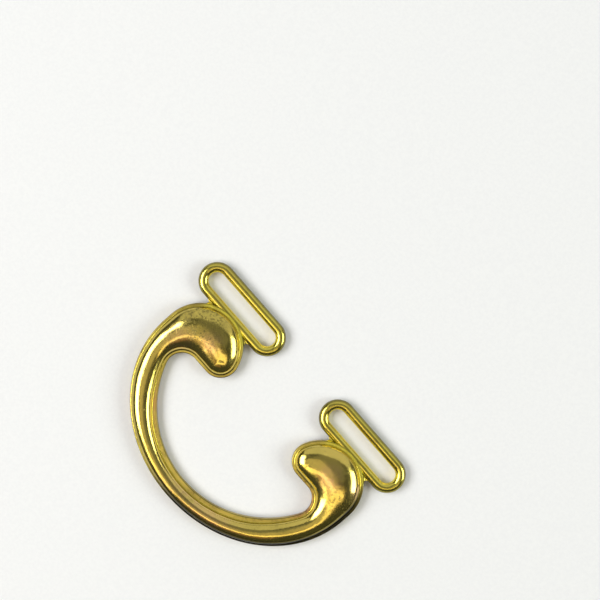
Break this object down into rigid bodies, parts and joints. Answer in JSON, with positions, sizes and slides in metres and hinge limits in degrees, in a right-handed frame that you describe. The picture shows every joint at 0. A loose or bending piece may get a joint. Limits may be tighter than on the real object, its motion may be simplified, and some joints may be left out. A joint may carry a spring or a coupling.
{
  "type": "buckle slider",
  "caption": "C-shaped brass strap slider with a flat back, a domed comma-ended front and a wire loop at either end for a narrow strap.",
  "frame": {"origin": "bottom centre of the overall outline, in the plane of the loops' backs", "axes": "+X along the line of the strap loops, +Y from the curved band towards the loops, +Z out of the domed front"},
  "size_m": [0.0624, 0.0418, 0.0049],
  "materials": {
    "plate_brass": "dull, stained",
    "dome_brass": "polished, lightly tarnished",
    "loop_brass": "polished",
    "solder": "bright, uneven"
  },
  "bodies": {
    "root": {"back_plate": "plate_brass", "domed_front": "dome_brass", "left_loop": "loop_brass", "right_loop": "loop_brass", "seam_solder": "solder", "left_solder": "solder", "right_solder": "solder"}
  },
  "joints": []
}
